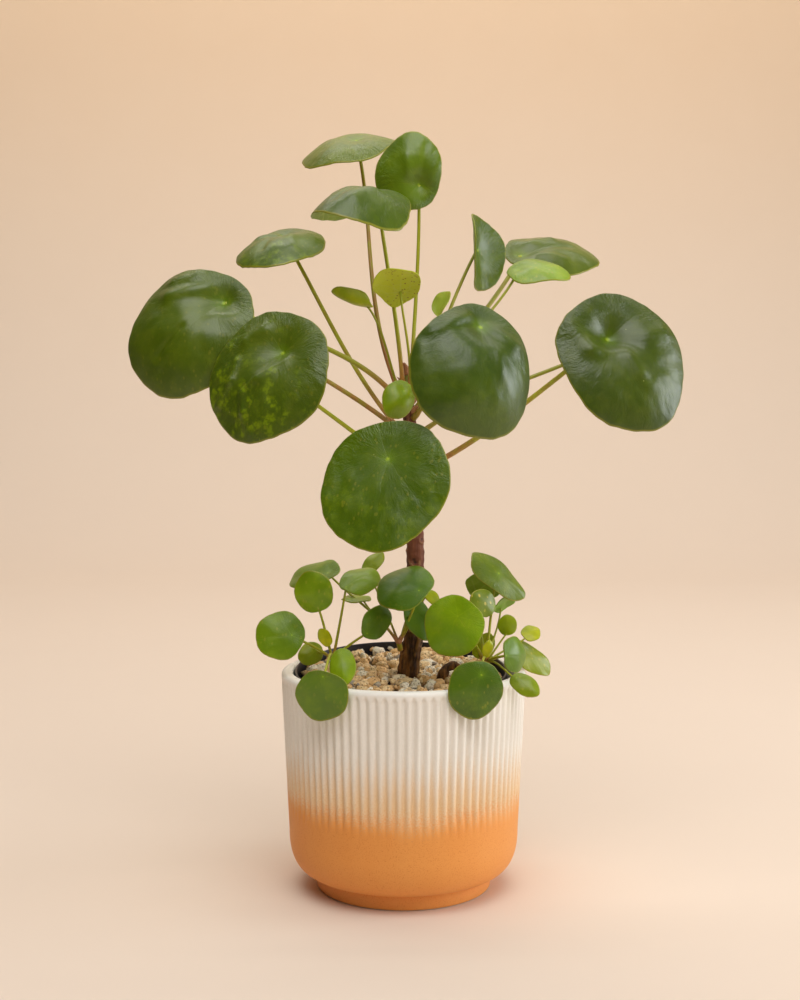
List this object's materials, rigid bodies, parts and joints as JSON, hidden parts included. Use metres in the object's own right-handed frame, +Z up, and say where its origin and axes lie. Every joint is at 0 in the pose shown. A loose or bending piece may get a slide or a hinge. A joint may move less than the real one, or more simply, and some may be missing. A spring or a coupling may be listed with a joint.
{
  "type": "potted pilea plant",
  "caption": "Round-leaved pilea on a woody trunk with plantlets at its foot, in a nursery pot inside a fluted two-tone ceramic cover pot.",
  "frame": {"origin": "on the cover pot's axis, at the underside of its foot", "axes": "+Z up along the pot's axis; -Y is the side that the plant shows to the viewer; +X to the viewer's right"},
  "size_m": [0.3325, 0.2011, 0.4718],
  "materials": {
    "pot_glaze": "satin off-white glaze that speckles down into a matt terracotta orange",
    "black_plastic": "thin black moulded nursery pot",
    "potting_mix": "dark crumbly potting mix",
    "gravel": "dry tan and cream pebbles",
    "bark": "reddish brown stem above, dark peeling bark below",
    "leaf": "dark green, waxy and softly wrinkled",
    "young_leaf": "bright green, waxy"
  },
  "bodies": {
    "root": {"pot": "pot_glaze", "nursery_pot": "black_plastic", "soil": "potting_mix", "gravel": "gravel", "trunk": "bark", "leaf_far_left": "leaf", "leaf_left": "leaf", "leaf_centre_right": "leaf", "leaf_right": "leaf", "leaf_front_low": "leaf", "leaf_top_left": "leaf", "leaf_top": "leaf", "leaf_upper_centre": "leaf", "leaf_left_upper": "leaf", "leaf_right_upright": "leaf", "leaf_right_back": "leaf", "leaf_right_pale": "leaf", "leaf_young_centre": "young_leaf", "leaf_young_left": "young_leaf", "leaf_bud_front": "young_leaf", "leaf_bud_back": "young_leaf", "leaf_hidden_left": "leaf", "leaf_hidden_right": "leaf", "plantlet_left": "young_leaf", "plantlet_centre": "young_leaf", "plantlet_right": "young_leaf"}
  },
  "joints": []
}
